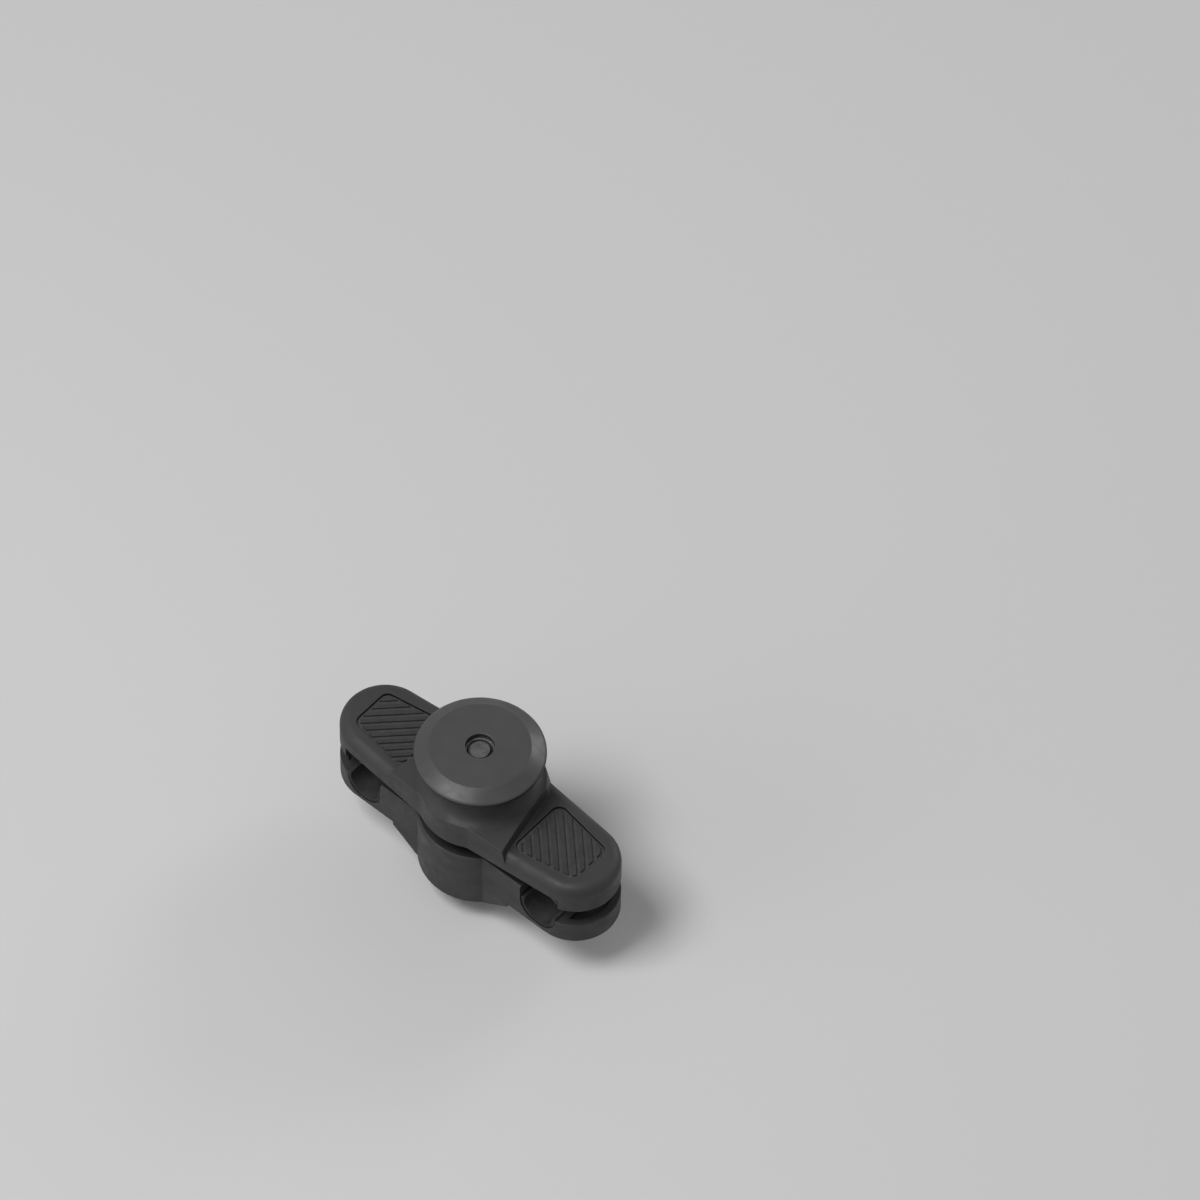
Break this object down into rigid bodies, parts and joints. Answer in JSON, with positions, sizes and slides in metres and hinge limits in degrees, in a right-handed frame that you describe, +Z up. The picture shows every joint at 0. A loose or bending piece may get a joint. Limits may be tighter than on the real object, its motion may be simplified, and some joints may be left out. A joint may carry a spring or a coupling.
{
  "type": "saddle rail mount",
  "caption": "Two-jaw clamp for the round rails under a bicycle saddle, with ribbed wings, a bevelled disc on top and one central screw.",
  "frame": {"origin": "on the screw's axis, at the underside of the boss of the lower jaw", "axes": "+X to the rider's right, +Y forward along the rails, +Z up towards the saddle"},
  "size_m": [0.0656, 0.0252, 0.035],
  "materials": {
    "moulded_nylon": "fine moulded grain",
    "satin_cap": "satin, turned bevel",
    "ribbed_rubber": "matt, ribbed",
    "shoe_plastic": "matt",
    "soft_rubber": "matt",
    "plated_insert": "turned and nickel plated",
    "steel": "blackened"
  },
  "bodies": {
    "upper": {"upper_jaw": "moulded_nylon", "cap_disc": "satin_cap", "cap_insert": "plated_insert", "cap_washer": "soft_rubber", "grip_pad_left": "ribbed_rubber", "grip_pad_right": "ribbed_rubber", "rail_shoe_left": "shoe_plastic", "rail_shoe_right": "shoe_plastic"},
    "lower": {"lower_jaw": "moulded_nylon", "rail_liner_left": "soft_rubber", "rail_liner_right": "soft_rubber", "screw_washer": "steel"},
    "screw": {"clamp_screw": "steel"}
  },
  "joints": [
    {"name": "jaw_open", "type": "slide", "parent": "upper", "child": "lower", "axis": [0, 0, 1], "range_m": [-0.0056, 0]},
    {"name": "screw_turn", "type": "hinge", "parent": "lower", "child": "screw", "pos_m": [0, 0, 0.0039], "axis": [0, 0, 1], "range_deg": [-2520, 0]}
  ],
  "couplings": [
    {"joint": "screw_turn", "follows": "jaw_open", "rad_per_m": 7854}
  ]
}
